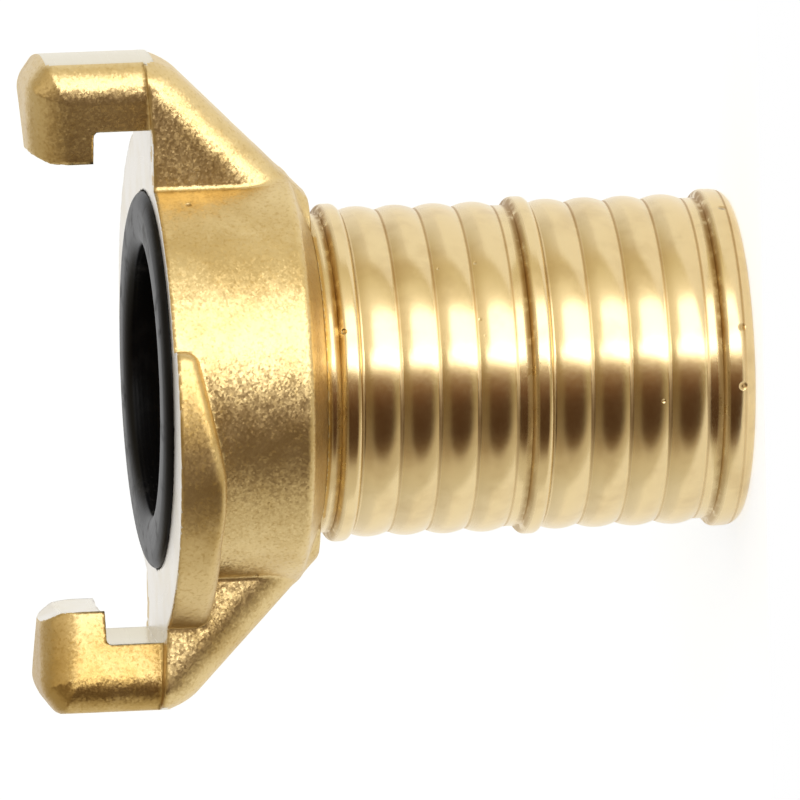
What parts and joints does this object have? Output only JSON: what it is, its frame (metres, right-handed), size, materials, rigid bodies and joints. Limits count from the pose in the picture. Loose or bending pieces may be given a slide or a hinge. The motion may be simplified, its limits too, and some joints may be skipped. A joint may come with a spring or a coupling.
{
  "type": "quarter turn fire hose coupling",
  "caption": "Brass claw coupling half for a fire hose: opposed hooked claws on slanted webs, ramped rim segments, black form seal and ribbed hose tail.",
  "frame": {"origin": "centre of the hose tail's end face", "axes": "+Z along the waterway towards the claws; the claws stand opposite each other along X"},
  "size_m": [0.056, 0.04, 0.0604],
  "materials": {
    "brass": "blasted, turned on the face and tail",
    "seal_rubber": "satin"
  },
  "bodies": {
    "root": {"coupling_body": "brass", "form_seal": "seal_rubber"}
  },
  "joints": []
}
